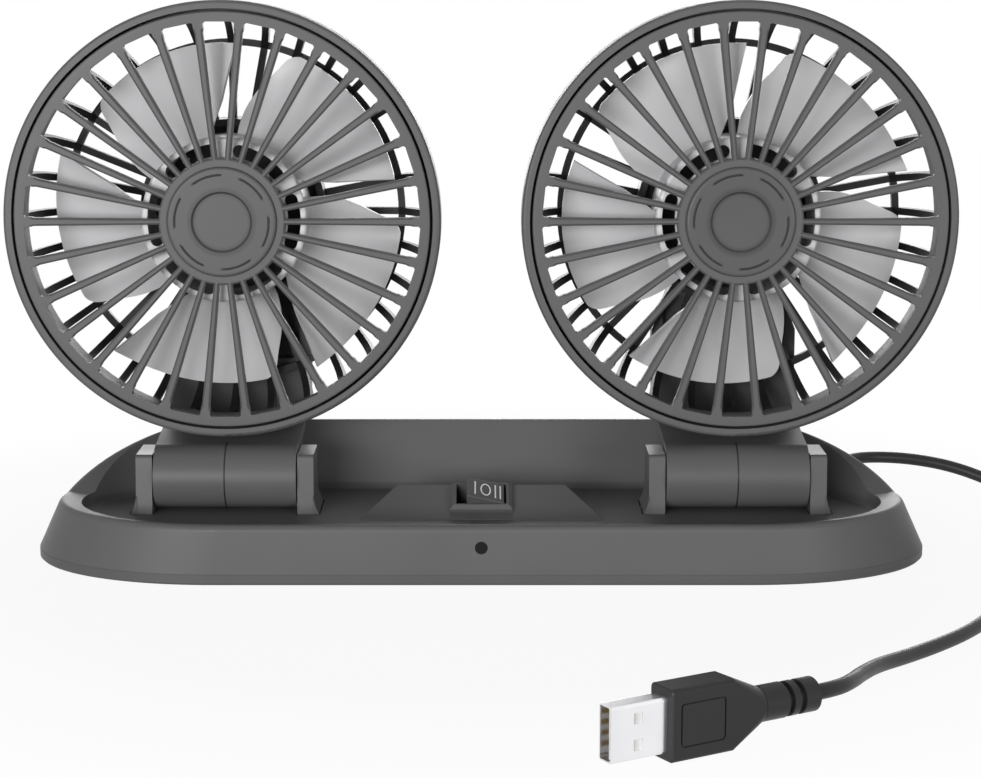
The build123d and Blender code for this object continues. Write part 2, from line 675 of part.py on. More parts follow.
with BuildPart() as top_shell:
    loft([body_outline(plate_top + touch_gap), body_outline(rim_z + 3)], ruled=True)
    extrude(under_rim(0), amount=base_half_width, both=True, mode=Mode.INTERSECT)
    fillet(top_shell.edges().filter_by(lambda e: e.center().Z > lip_z - 1), edge_round)
    loft(dish(0), ruled=True, mode=Mode.SUBTRACT)
    fillet(top_shell.edges().filter_by(lambda e: abs(e.center().Z - deck_z) < 0.01), dish_round)
    add(hollow.part, mode=Mode.SUBTRACT)
    with BuildSketch(Plane.XY.offset(deck_z - wall)):
        with BuildLine():
            Polyline((-console_front_half, console_front), (console_front_half, console_front),
                     (console_back_half, console_back), (-console_back_half, console_back), close=True)
        make_face()
    extrude(amount=console_rise + wall)
    with BuildSketch(Plane.YZ):
        with BuildLine():
            Polyline((console_front - 0.1, deck_z + console_lift), (console_back, deck_z + console_rise),
                     (console_back, deck_z + 9), (console_front - 0.1, deck_z + 9), close=True)
        make_face()
    extrude(amount=console_front_half, both=True, mode=Mode.SUBTRACT)
    with BuildSketch(Plane.YZ):
        with BuildLine():
            Polyline((console_front + 3, deck_z - wall - 0.1), (console_back - wall, deck_z - wall - 0.1),
                     (console_back - wall, deck_z + console_rise - wall - 0.6), (console_front + 3, deck_z - 1),
                     close=True)
        make_face()
    extrude(amount=console_back_half - wall, both=True, mode=Mode.SUBTRACT)
    with BuildSketch(switch_plane.offset(4)):
        Rectangle(switch_body_width + 2 * touch_gap, switch_body_depth + 2 * touch_gap)
    extrude(amount=-16, mode=Mode.SUBTRACT)
    for x in sides.values():
        for end in (-1, 1):
            with BuildSketch(Plane.XY.offset(deck_z - wall - 1)):
                with Locations((x + end * (ear_in + ear_thickness / 2 + ear_flare / 2), bracket_middle)):
                    Rectangle(ear_thickness + ear_flare + 2 * part_gap, ear_back_low - ear_front_low + 2 * part_gap)
            extrude(amount=wall + 3, mode=Mode.SUBTRACT)
        with BuildSketch(Plane.XY.offset(deck_z - 1.0)):
            with Locations((x, bracket_middle)):
                with GridLocations(2 * ear_out + bracket_margin, bracket_screw_spacing, 2, 2):
                    Circle(bracket_screw_r + 0.05)
        extrude(amount=-wall, mode=Mode.SUBTRACT)
    with BuildSketch(facing(base_front - 1)):
        with Locations((0, lens_z)):
            Circle(lens_r + touch_gap)
    extrude(amount=-10, mode=Mode.SUBTRACT)
    with BuildSketch(exit_plane.offset(3)):
        Circle(gland_r + touch_gap)
    extrude(amount=-12, mode=Mode.SUBTRACT)
    with BuildSketch(exit_plane.offset(boot_seat - touch_gap)):
        Circle(boot_big_r + touch_gap)
    extrude(amount=4, mode=Mode.SUBTRACT)
    for x, y in screw_places:
        with BuildSketch(Plane.XY.offset(plate_top + touch_gap)):
            with Locations((x, y)):
                Circle(base_boss_r)
        extrude(until=Until.NEXT)
        with BuildSketch(Plane.XY.offset(plate_top)):
            with Locations((x, y)):
                Circle(base_screw_r + 0.1)
        extrude(amount=6.5, mode=Mode.SUBTRACT)

# Bottom plate with a locating lip, board posts, foot recesses and screw holes
lip_rise = 1.5
lip_wall = 1.2
lip_inset = wall + part_gap + end_draft * lip_rise



def lip_outline(inset):
    """the locating lip's outside, or that outline moved in"""
    moved = lip_inset + inset
    return outline(plate_top, base_half_width - moved, base_front + moved, base_back - moved, base_straight - 1)


foot_places = [(a * foot_x, b * foot_y - 3) for a in (-1, 1) for b in (-1, 1)]
board_places = [(a * (board_length / 2 - 3), board_y + b * (board_depth / 2 - 3)) for a in (-1, 1) for b in (-1, 1)]
with BuildPart() as bottom_plate:
    extrude(outline(plate_bottom, base_half_width, base_front, base_back, base_straight),
            amount=plate_top - plate_bottom)
    chamfer(bottom_plate.edges().group_by(Axis.Z)[0], 0.6)
    extrude(lip_outline(0), amount=lip_rise)
    extrude(lip_outline(lip_wall), amount=lip_rise + 1, mode=Mode.SUBTRACT)
    with BuildSketch(Plane.XY.offset(plate_top)):
        with Locations(*board_places):
            Circle(2.2)
    extrude(amount=board_z - plate_top - touch_gap)
    with BuildSketch(Plane.XY.offset(plate_bottom)):
        with Locations(*foot_places):
            RectangleRounded(foot_length + 0.2, foot_width + 0.2, 3)
    extrude(amount=foot_sink + touch_gap, mode=Mode.SUBTRACT)
    with BuildSketch(Plane.XY.offset(plate_bottom)):
        with Locations(*screw_places):
            Circle(base_screw_r + 0.15)
    extrude(amount=8, mode=Mode.SUBTRACT)
    with BuildSketch(Plane.XY.offset(plate_bottom)):
        with Locations(*screw_places):
            Circle(base_screw_head_r + 0.2)
    extrude(amount=base_screw_head + 0.1, mode=Mode.SUBTRACT)
    with BuildSketch(Plane.XY.offset(board_z)):
        with Locations(*board_places):
            Circle(0.8)
    extrude(amount=-1.8, mode=Mode.SUBTRACT)

with BuildPart() as base_screws:
    with BuildSketch(Plane.XY.offset(plate_bottom + 0.05)):
        with Locations(*screw_places):
            Circle(base_screw_head_r)
    extrude(amount=base_screw_head)
    with BuildSketch(Plane.XY.offset(plate_bottom + 0.1)):
        with Locations(*screw_places):
            Circle(base_screw_r)
    extrude(amount=8.5)

with BuildPart() as feet:
    with BuildSketch(Plane.XY):
        with Locations(*foot_places):
            RectangleRounded(foot_length, foot_width, 2.9)
    extrude(amount=plate_bottom + foot_sink)

# Control board, its components and screws
board_top = board_z + board_thickness
with BuildPart() as board:
    with BuildSketch(Plane.XY.offset(board_z)):
        with Locations((0, board_y)):
            Rectangle(board_length, board_depth)
        with Locations(*board_places):
            Circle(0.9, mode=Mode.SUBTRACT)
    extrude(amount=board_thickness)

lens_front = base_front + front_draft * (lens_z - plate_top) + 0.3
led_front = lens_front + lens_length + 0.4
with BuildPart() as components:
    with BuildSketch(Plane.XY.offset(board_top + touch_gap)):
        with Locations((-16, board_y + 1)):
            Rectangle(6.0, 5.0)
    extrude(amount=1.6)
    with BuildSketch(Plane.XY.offset(board_top + touch_gap)):
        with Locations((16, board_y)):
            Circle(2.5)
    extrude(amount=3.4)
    with BuildSketch(Plane.XY.offset(board_top + touch_gap)):
        with Locations((-4, board_y + 4), (7, board_y + 4)):
            Rectangle(7.5, 4.0)
    extrude(amount=3.0)
    with BuildSketch(facing(led_front)):
        with Locations((0, lens_z)):
            Circle(1.5)
    extrude(amount=-3.0)
    with BuildSketch(Plane.XY.offset(board_top + touch_gap)):
        with Locations((0, led_front + 2.5)):
            Rectangle(1.6, 0.6)
    extrude(amount=lens_z - board_top - 0.5)

with BuildPart() as board_screws:
    with BuildSketch(Plane.XY.offset(board_top + 0.02)):
        with Locations(*board_places):
            Circle(1.6)
    extrude(amount=0.9)
    with BuildSketch(Plane.XY.offset(board_top + 0.1)):
        with Locations(*board_places):
            Circle(0.75)
    extrude(amount=-board_thickness - 1.5)

with BuildPart() as lens:
    with BuildSketch(facing(lens_front)):
        with Locations((0, lens_z)):
            Circle(lens_r)
    extrude(amount=-lens_length)

# Rocker switch: housing with bezel, terminals and the rocker at rest on its right-hand side
pivot = switch_plane.from_local_coords(Vector(0, 0, -rocker_pivot_drop))
out_of_switch = Axis(switch_origin, switch_plane.z_dir)
with BuildPart() as switch_housing:
    with BuildSketch(switch_plane.offset(touch_gap)):
        Rectangle(bezel_width, bezel_depth)
    extrude(amount=bezel_height)
    chamfer(switch_housing.faces().sort_by(out_of_switch)[-1].edges(), bezel_bevel)
    with BuildSketch(switch_plane.offset(touch_gap)):
        Rectangle(switch_body_width, switch_body_depth)
    extrude(amount=-switch_body_height)
    with BuildSketch(switch_plane.offset(bezel_height + 1)):
        Rectangle(2 * rocker_open_half, rocker_depth + 2 * part_gap)
    extrude(amount=-bezel_height - 8, mode=Mode.SUBTRACT)
    for end in (-1, 1):
        pin_plane = Plane(origin=pivot, x_dir=switch_plane.x_dir, z_dir=switch_plane.y_dir)
        with BuildSketch(pin_plane):
            Circle(rocker_pin_r + pin_gap)
        extrude(amount=end * (rocker_depth / 2 + rocker_pin_reach + touch_gap), mode=Mode.SUBTRACT)

with BuildPart() as terminals:
    with BuildSketch(switch_plane.offset(-switch_body_height)):
        with Locations((-5, 0), (0, 0), (5, 0)):
            Rectangle(0.8, 3.0)
    extrude(amount=-2.4)

rocker_plane = Plane(origin=pivot, x_dir=switch_plane.x_dir, z_dir=-switch_plane.y_dir)
with BuildPart() as rocker:
    with BuildSketch(rocker_plane):
        with BuildLine():
            Line((-rocker_width / 2, rocker_rise), (rocker_width / 2, rocker_rise))
            Line((rocker_width / 2, rocker_rise), (3.4, -1.2))
            ThreePointArc((3.4, -1.2), (0, -2.8), (-3.4, -1.2))
            Line((-3.4, -1.2), (-rocker_width / 2, rocker_rise))
        make_face()
    extrude(amount=rocker_depth / 2, both=True)
    fillet(rocker.faces().sort_by(out_of_switch)[-1].edges(), 0.4)
    with BuildSketch(rocker_plane):
        Circle(rocker_pin_r)
    extrude(amount=rocker_depth / 2 + rocker_pin_reach, both=True)
rocker_rest = rocker.part.rotate(Axis(pivot, switch_plane.y_dir), rocker_tilt)

# Strain relief boot in the wall, with grooves
with BuildPart() as boot:
    with BuildSketch(exit_plane.offset(-wall - 2.5)):
        Circle(gland_r + 1)
    extrude(amount=1.2)
    with BuildSketch(exit_plane.offset(-wall - 1.4)):
        Circle(gland_r)
    extrude(amount=wall + 2.4)
    with BuildSketch(exit_plane.offset(boot_seat)):
        Circle(boot_big_r)
    with BuildSketch(exit_plane.offset(boot_length)):
        Circle(boot_small_r)
    loft()
    for i in range(4):
        with BuildSketch(exit_plane.offset(3.2 + 2.4 * i)):
            Circle(boot_big_r + 1)
            Circle(boot_small_r - 0.1 * i, mode=Mode.SUBTRACT)
        extrude(amount=0.9, mode=Mode.SUBTRACT)

# Cord: out of the boot and down to the table, a tied coil, then round to the plug
cord_d = 2 * cord_r
coil_z = cord_r + tie_thickness + 0.1
turn_step = (cord_d + coil_gap) / 2
layer_z = coil_z + 2 * turn_step
boot_end = exit_point + exit_dir * boot_length
coil_start = (coil_x - cord_d, coil_y + coil_outer_r, coil_z)
plug_dir = Vector(cos(radians(plug_turn)), sin(radians(plug_turn)), 0)
plug_origin = Vector(plug_tip[0], plug_tip[1], plug_z)
plug_end = plug_origin + plug_dir * plug_length

with BuildPart() as coil:
    with BuildLine() as winding:
        Line(coil_start, (coil_x, coil_start[1], coil_z))
        y, side, r = coil_start[1], 1, coil_outer_r
        for half in range(coil_halves):
            ThreePointArc((coil_x, y, coil_z), (coil_x + side * r, y - side * r, coil_z),
                          (coil_x, y - side * 2 * r, coil_z))
            y, side, r = y - side * 2 * r, -side, r - turn_step
        crest = (coil_x + side * hypot(r, turn_step), y - side * r, (coil_z + layer_z) / 2)
        first_climb = TangentArc((coil_x, y, coil_z), crest, tangent=(side, 0, 0))
        TangentArc(crest, (coil_x, y - side * 2 * r, layer_z), tangent=first_climb % 1)
        y, side, r = y - side * 2 * r, -side, r + turn_step
        for half in range(coil_halves):
            ThreePointArc((coil_x, y, layer_z), (coil_x + side * r, y - side * r, layer_z),
                          (coil_x, y - side * 2 * r, layer_z))
            y, side, r = y - side * 2 * r, -side, r + turn_step
        coil_end = (coil_x - cord_d, y, layer_z)
        Line((coil_x, y, layer_z), coil_end)
    with BuildSketch(Plane(origin=coil_start, z_dir=(1, 0, 0))):
        Circle(cord_r)
    sweep(path=winding.wires()[0])

samples = 600
coil_wire = winding.wires()[0]
coil_points = [coil_wire @ (i / samples) for i in range(samples + 1)]
skip = int(4 * cord_d / coil_wire.length * samples)
least = min((coil_points[i] - coil_points[j]).length for i in range(samples + 1)
            for j in range(i + skip, samples + 1)) - cord_d
print("coil length", round(coil_wire.length, 1), "least gap", round(least, 2), "end", coil_end,
      "volume ratio", round(coil.part.volume / (pi * cord_r ** 2 * coil_wire.length), 4))

route_out = [tuple(boot_end), (109.5, 46.2, 17.0), (117.8, 51.9, 16.9), (130.2, 52.9, 16.2), (142.5, 51.0, 14.3),
             (153.5, 46.5, 10.9), (163.5, 41.0, 6.4), (173.0, coil_start[1], coil_z), coil_start]
route_back = [coil_end, (173.0, coil_end[1], layer_z), (163.0, -21.8, 4.4), (153.0, -28.5, 2.2),
              (144.5, -37.5, cord_r), (138.5, -50.0, cord_r), (133.2, -63.5, cord_r), (127.0, -77.5, cord_r),
              (118.8, -90.6, cord_r), (109.2, -102.0, cord_r), (99.6, -113.0, 2.2), (90.8, -125.0, 3.7),
              (85.0, -137.6, 5.4), (81.6, -147.6, 7.0), tuple(plug_end + plug_dir * 7.4), tuple(plug_end)]


def bend_radii(points):
    """as large an arc at each corner as its two runs allow"""
    radii = []
    for a, b, c in zip(points, points[1:], points[2:]):
        first, second = Vector(b) - Vector(a), Vector(c) - Vector(b)
        half_turn = radians(first.get_angle(second)) / 2
        radii.append(0.45 * min(first.length, second.length) / tan(half_turn))
    return radii


def cord_tube(points):
    """round tube along straight runs and tangent arcs"""
    with BuildPart() as tube:
        with BuildLine() as path:
            FilletPolyline(*points, radius=bend_radii(points))
        start = Vector(points[1]) - Vector(points[0])
        with BuildSketch(Plane(origin=points[0], z_dir=start)):
            Circle(cord_r)
        sweep(path=path.wires()[0])
    length = path.wires()[0].length
    print("tube length", round(length, 1), "volume ratio", round(tube.part.volume / (pi * cord_r ** 2 * length), 4),
          "runs", [round((Vector(b) - Vector(a)).length, 1) for a, b in zip(points, points[1:])],
          "radii", [round(r) for r in bend_radii(points)])
    return tube


cord_out = cord_tube(route_out)
cord_back = cord_tube(route_back)

# Band round the coil
tie_far = coil_outer_r - turn_step + cord_r + 0.1 + tie_thickness
tie_near = coil_outer_r - coil_halves * turn_step - cord_r - 0.1 - tie_thickness
tie_top = layer_z + cord_r + 0.1 + tie_thickness
with BuildPart() as tie:
    with BuildSketch(facing(coil_y - turn_step - tie_width / 2)):
        with Locations((coil_x - (tie_far + tie_near) / 2, tie_top / 2)):
            RectangleRounded(tie_far - tie_near, tie_top, 1.2)
            RectangleRounded(tie_far - tie_near - 2 * tie_thickness, tie_top - 2 * tie_thickness, 0.6,
                             mode=Mode.SUBTRACT)
    extrude(amount=-tie_width)

# Plug on its narrow side: shell, tongue, contacts and a moulded grip with a ribbed relief
plug_plane = Plane(origin=plug_origin, x_dir=(plug_dir.Y, -plug_dir.X, 0), z_dir=plug_dir)
with BuildPart() as plug_shell:
    with BuildSketch(plug_plane):
        RectangleRounded(shell_thickness, shell_width, 0.6)
        RectangleRounded(shell_thickness - 2 * shell_wall, shell_width - 2 * shell_wall, 0.3, mode=Mode.SUBTRACT)
    extrude(amount=shell_length)
    side_plane = Plane(origin=plug_origin + plug_dir * 6.6, x_dir=plug_dir, z_dir=plug_plane.x_dir)
    with BuildSketch(side_plane):
        with GridLocations(1, 5.6, 1, 2):
            Rectangle(2.2, 2.4)
    extrude(amount=shell_thickness, both=True, mode=Mode.SUBTRACT)

with BuildPart() as plug_tongue:
    with BuildSketch(plug_plane.offset(0.8)):
        with Locations((1.0, 0)):
            Rectangle(1.7, shell_width - 2 * shell_wall - 0.3)
    extrude(amount=shell_length - 0.9)

with BuildPart() as plug_contacts:
    with BuildSketch(plug_plane.offset(1.6)):
        with Locations((1.0 - 0.85 - 0.12, 0)):
            with GridLocations(1, 2.3, 1, 4):
                Rectangle(0.2, 1.1)
    extrude(amount=shell_length - 2.0)

with BuildPart() as plug_grip:
    with BuildSketch(plug_plane.offset(shell_length + touch_gap)):
        RectangleRounded(grip_thickness, grip_height, 1.0)
    extrude(amount=grip_end - shell_length - touch_gap)
    chamfer(plug_grip.faces().sort_by(Axis(plug_origin, plug_dir))[0].edges(), 0.3)
    with BuildSketch(plug_plane.offset(grip_end)):
        RectangleRounded(grip_thickness, grip_height, 1.0)
    with BuildSketch(plug_plane.offset(taper_end)):
        RectangleRounded(2 * relief_r - 0.2, 2 * relief_r - 0.2, relief_r - 0.2)
    loft(ruled=True)
    for start, end, r in ((taper_end, 44.6, relief_r), (44.6, 46.0, 2.9), (46.0, 47.7, relief_r - 0.1),
                          (47.7, 49.1, 2.9), (49.1, plug_length, relief_r - 0.1)):
        with BuildSketch(plug_plane.offset(start)):
            Circle(r)
        extrude(amount=end - start)
    for face in (-1, 1):
        panel_middle = plug_origin + plug_dir * 21.75 + plug_plane.x_dir * (face * grip_thickness / 2)
        with BuildSketch(Plane(origin=panel_middle, x_dir=plug_dir, z_dir=plug_plane.x_dir)):
            RectangleRounded(11.5, 9.5, 1.0)
            RectangleRounded(10.7, 8.7, 0.6, mode=Mode.SUBTRACT)
        extrude(amount=-face * 0.35, mode=Mode.SUBTRACT)

# Everything into its place and onto disk
for side, x in sides.items():
    fan = Location((x, face_y, head_height))
    for piece, name in ((grille, "front_grille"), (cap, "hub_cap"), (cage, "rear_cage"), (motor, "motor"),
                        (shaft, "motor_shaft"), (motor_screws, "motor_screws")):
        save(piece, side + "_" + name, fan)
    save(rotor, side + "_rotor", fan * Rotation(0, rest_turn[side], 0))
    hinge = Location((x, 0, 0))
    for piece, name in ((arm_left_half, "arm_left_half"), (arm_right_half, "arm_right_half"),
                        (arm_screws, "arm_screws"), (hinge_pin, "hinge_pin"), (washers, "friction_washers"),
                        (bracket, "hinge_bracket"), (bracket_screws, "bracket_screws")):
        save(piece, side + "_" + name, hinge)
for piece, name in ((top_shell, "base_top_shell"), (bottom_plate, "base_bottom_plate"), (base_screws, "base_screws"),
                    (feet, "anti_slip_feet"), (board, "control_board"), (components, "board_components"),
                    (board_screws, "board_screws"), (lens, "indicator_lens"), (switch_housing, "switch_housing"),
                    (terminals, "switch_terminals"), (boot, "cord_boot"), (cord_out, "cord_out"),
                    (coil, "cord_coil"), (cord_back, "cord_back"), (tie, "coil_tie"), (plug_shell, "plug_shell"),
                    (plug_tongue, "plug_tongue"), (plug_contacts, "plug_contacts"), (plug_grip, "plug_grip")):
    save(piece, name)
rocker_rest.label = "switch_rocker"
export_step(rocker_rest, "parts/switch_rocker.step")
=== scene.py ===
import json
import math

import bmesh
import bpy
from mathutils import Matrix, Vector


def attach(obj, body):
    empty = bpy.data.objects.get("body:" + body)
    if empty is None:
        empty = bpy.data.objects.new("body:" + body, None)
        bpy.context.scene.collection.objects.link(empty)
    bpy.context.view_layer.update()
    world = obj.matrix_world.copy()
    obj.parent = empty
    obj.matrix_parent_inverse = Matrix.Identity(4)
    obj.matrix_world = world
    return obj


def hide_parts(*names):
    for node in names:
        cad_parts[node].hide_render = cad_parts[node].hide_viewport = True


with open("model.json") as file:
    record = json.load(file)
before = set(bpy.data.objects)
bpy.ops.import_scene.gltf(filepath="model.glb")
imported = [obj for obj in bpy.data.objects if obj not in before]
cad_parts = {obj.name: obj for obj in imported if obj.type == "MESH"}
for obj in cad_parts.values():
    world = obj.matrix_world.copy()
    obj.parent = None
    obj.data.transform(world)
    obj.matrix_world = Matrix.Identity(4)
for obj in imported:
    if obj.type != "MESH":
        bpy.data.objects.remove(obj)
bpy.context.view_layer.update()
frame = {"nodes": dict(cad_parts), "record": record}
nodes = frame["nodes"]
scene = bpy.context.scene

# Lengths are in millimetres up to the point where they are multiplied by MM
MM = 0.001
HEAD_X, HEAD_Z = 71.05, 94.0
HINGE_Y, HINGE_Z = -3.5, 22.8


# Camera, matched to the photograph
def make_camera():
    data = bpy.data.cameras.new("camera")
    data.lens = 84.4
    data.sensor_width = 36
    data.shift_x = 0.00938
    data.clip_start, data.clip_end = 0.01, 20
    camera = bpy.data.objects.new("camera", data)
    scene.collection.objects.link(camera)
    camera.location = (0, -0.63432, 0.155)
    camera.rotation_euler = (math.radians(90 - 9.6965), 0, 0)
    scene.camera = camera


make_camera()

# Cord: the points of its free stretches, and the coil's turns by a loop
CORD_R = 1.75
COIL_X, COIL_Y = 186.0, 10.0
COIL_OUTER_R = 26.0
COIL_HALVES = 7  # half turns in each layer, with one more between the layers that climbs
TURN_STEP = 1.975
COIL_Z, LAYER_Z = 2.45, 6.4
POINTS_PER_HALF = 8
BOOT_END = (105.494, 37.602, 17.0)
PLUG_END = (70.530, -159.903, 7.8)

route_out = [BOOT_END, (109.5, 46.2, 17.0), (117.8, 51.9, 16.9), (130.2, 52.9, 16.2),
             (142.5, 51.0, 14.3), (153.5, 46.5, 10.9), (163.5, 41.0, 6.4), (173.0, 36.0, COIL_Z),
             (182.5, 36.0, COIL_Z)]
route_back = [(182.5, -19.95, LAYER_Z), (173.0, -19.95, LAYER_Z), (163.0, -21.8, 4.4),
              (153.0, -28.5, 2.2), (144.5, -37.5, CORD_R), (138.5, -50.0, CORD_R),
              (133.2, -63.5, CORD_R), (127.0, -77.5, CORD_R), (118.8, -90.6, CORD_R),
              (109.2, -102.0, CORD_R), (99.6, -113.0, 2.2), (90.8, -125.0, 3.7),
              (85.0, -137.6, 5.4), (81.6, -147.6, 7.0), (76.873, -156.092, 7.8), PLUG_END]


def coil_turns():
    """half circles that shrink, climb one layer and grow again"""
    points = []
    # the curve runs inside its points, which stand further out by this much
    spread = 1 / (0.75 + 0.25 * math.cos(math.pi / POINTS_PER_HALF))
    top, side, radius = COIL_Y + COIL_OUTER_R, 1, COIL_OUTER_R
    for half in range(2 * COIL_HALVES + 1):
        middle = top - side * radius
        for i in range(POINTS_PER_HALF):
            share = (i + 0.5) / POINTS_PER_HALF
            angle = math.pi * share
            level = 0 if half < COIL_HALVES else 1
            climbed = share if half == COIL_HALVES else level
            points.append((COIL_X + side * radius * spread * math.sin(angle),
                           middle + side * radius * spread * math.cos(angle),
                           COIL_Z + (LAYER_Z - COIL_Z) * climbed))
        top, side = middle - side * radius, -side
        radius += TURN_STEP if half >= COIL_HALVES else -TURN_STEP
    return points


def tube_data(name, sides_step):
    """curve data for round tubes; its box grows by the points' radius, so that says the thickness"""
    data = bpy.data.curves.new(name, "CURVE")
    data.dimensions = "3D"
    data.bevel_depth = 1.0
    data.bevel_resolution = sides_step
    data.use_fill_caps = True
    return data


def add_run(data, kind, points, radius):
    """one spline of a tube through points"""
    spline = data.splines.new(kind)
    spline.points.add(len(points) - 1)
    for point, place in zip(spline.points, points):
        point.co = (place[0] * MM, place[1] * MM, place[2] * MM, 1)
        point.radius = radius * MM
    return spline


def linked(name, data):
    """a new object of the scene"""
    piece = bpy.data.objects.new(name, data)
    scene.collection.objects.link(piece)
    return piece


cord_data = tube_data("cord", 6)
cord_run = add_run(cord_data, "NURBS", route_out + coil_turns() + route_back, CORD_R)
cord_run.order_u = 3
cord_run.use_endpoint_u = True
cord_run.resolution_u = 6
cord = linked("cord", cord_data)
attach(cord, "base")
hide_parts("cord_out", "cord_coil", "cord_back")


# Materials
def shader(name):
    material = bpy.data.materials.new(name)
    material.use_nodes = True
    tree = material.node_tree
    return material, tree, tree.nodes["Principled BSDF"]


def noise(tree, scale, detail=3.0, stretch=(1, 1, 1)):
    """noise over the object's own coordinates"""
    place = tree.nodes.new("ShaderNodeTexCoord")
    mapping = tree.nodes.new("ShaderNodeMapping")
    mapping.inputs["Scale"].default_value = stretch
    texture = tree.nodes.new("ShaderNodeTexNoise")
    texture.inputs["Scale"].default_value = scale
    texture.inputs["Detail"].default_value = detail
    tree.links.new(place.outputs["Object"], mapping.inputs["Vector"])
    tree.links.new(mapping.outputs["Vector"], texture.inputs["Vector"])
    return texture.outputs["Fac"]


def mapped(tree, source, from_low, from_high, to_low, to_high):
    """a value carried over from one range to another"""
    node = tree.nodes.new("ShaderNodeMapRange")
    for key, value in (("From Min", from_low), ("From Max", from_high), ("To Min", to_low),
                       ("To Max", to_high)):
        node.inputs[key].default_value = value
    tree.links.new(source, node.inputs["Value"])
    return node.outputs["Result"]


def math_of(tree, operation, first, second):
    """the result of one operation on two values"""
    node = tree.nodes.new("ShaderNodeMath")
    node.operation = operation
    tree.links.new(first, node.inputs[0])
    tree.links.new(second, node.inputs[1])
    return node.outputs[0]


def vector_of(tree, operation, source, other=(0, 0, 0)):
    """the node of one operation on a vector and a fixed one"""
    node = tree.nodes.new("ShaderNodeVectorMath")
    node.operation = operation
    node.inputs[1].default_value = other
    tree.links.new(source, node.inputs[0])
    return node


def tinted(tree, source, colour, amount):
    """a colour that a noise makes a little darker and lighter"""
    node = tree.nodes.new("ShaderNodeValToRGB")
    dark, light = node.color_ramp.elements
    dark.position, light.position = NOISE_LOW, NOISE_HIGH
    dark.color = [c * (1 - amount) for c in colour] + [1]
    light.color = [c * (1 + amount) for c in colour] + [1]
    tree.links.new(source, node.inputs["Fac"])
    return node.outputs["Color"]


def bump(tree, target, source, strength, distance):
    node = tree.nodes.new("ShaderNodeBump")
    node.inputs["Strength"].default_value = strength
    node.inputs["Distance"].default_value = distance
    tree.links.new(source, node.inputs["Height"])
    tree.links.new(node.outputs["Normal"], target.inputs["Normal"])


NOISE_LOW, NOISE_HIGH = 0.3, 0.7
CLOUD_SCALE = 45
GRAIN_DETAIL = 2
COAT_ROUGHNESS = 0.15


def moulded(name, colour, rough=0.5, sheen_spread=0.05, grain=2600, grain_depth=0.00003,
            grain_strength=0.25, specular=0.25, metallic=0.0, mottling=0.04, stretch=(1, 1, 1),
            coat=0.0):
    """moulded or drawn surface: fine grain, slight cloudiness in colour and gloss"""
    material, tree, principled = shader(name)
    cloud = noise(tree, CLOUD_SCALE)
    tree.links.new(tinted(tree, cloud, colour, mottling), principled.inputs["Base Color"])
    tree.links.new(mapped(tree, cloud, NOISE_LOW, NOISE_HIGH, rough - sheen_spread,
                          rough + sheen_spread),
                   principled.inputs["Roughness"])
    bump(tree, principled, noise(tree, grain, GRAIN_DETAIL, stretch), grain_strength, grain_depth)
    principled.inputs["Specular IOR Level"].default_value = specular
    principled.inputs["Metallic"].default_value = metallic
    principled.inputs["Coat Weight"].default_value = coat
    principled.inputs["Coat Roughness"].default_value = COAT_ROUGHNESS
    return material


def darken(tree, factor):
    """multiply the surface's colour by a factor"""
    target = tree.nodes["Principled BSDF"].inputs["Base Color"]
    plain = target.links[0].from_socket
    node = tree.nodes.new("ShaderNodeMix")
    node.data_type = "RGBA"
    node.blend_type = "MULTIPLY"
    node.inputs["Factor"].default_value = 1.0
    tree.links.new(plain, node.inputs["A"])
    tree.links.new(factor, node.inputs["B"])
    tree.links.new(node.outputs["Result"], target)


GREY = (0.094, 0.094, 0.096)


def painted_shade_cage():
    """the grey of the rim, with painted shade that makes the cage darker behind the rim"""
    material = moulded("cage_grey_painted_shade", GREY, 0.46)
    tree = material.node_tree
    place = tree.nodes.new("ShaderNodeTexCoord")
    axes = tree.nodes.new("ShaderNodeSeparateXYZ")
    tree.links.new(place.outputs["Object"], axes.inputs["Vector"])
    # painted shade: the colour falls to 0.22 of the grey between y 6 mm and 12 mm, behind the rim
    darken(tree, mapped(tree, axes.outputs["Y"], 6 * MM, 12 * MM, 1.0, 0.22))
    return material


DISH_SHADE_SCALE = 50  # the ramp's position per metre from the head's axis
DISH_SHADE_STOPS = ((0.33, 1.0), (0.40, 0.62), (0.44, 0.68), (0.50, 1.0))  # position and brightness


def painted_dish_shade_cap():
    """the cap's grey with painted shade: a soft dark ring over its dish"""
    material = moulded("painted_dish_shade_cap", (0.082, 0.082, 0.084), 0.4, mottling=0.03)
    tree = material.node_tree
    place = tree.nodes.new("ShaderNodeTexCoord")
    mirrored = vector_of(tree, "ABSOLUTE", place.outputs["Object"])
    centred = vector_of(tree, "SUBTRACT", mirrored.outputs["Vector"], (HEAD_X * MM, 0, HEAD_Z * MM))
    flat = vector_of(tree, "MULTIPLY", centred.outputs["Vector"], (DISH_SHADE_SCALE, 0, DISH_SHADE_SCALE))
    away = vector_of(tree, "LENGTH", flat.outputs["Vector"])
    ring = tree.nodes.new("ShaderNodeValToRGB")
    ring.color_ramp.interpolation = "EASE"
    for position, level in DISH_SHADE_STOPS:
        ring.color_ramp.elements.new(position).color = (level, level, level, 1)
    ring.color_ramp.elements[0].color = (1, 1, 1, 1)
    tree.links.new(away.outputs["Value"], ring.inputs["Fac"])
    # painted shade: the ramp darkens the cap to about 0.62 in a ring 6.6 to 10 mm from the head's
    # axis
    darken(tree, ring.outputs["Color"])
    return material


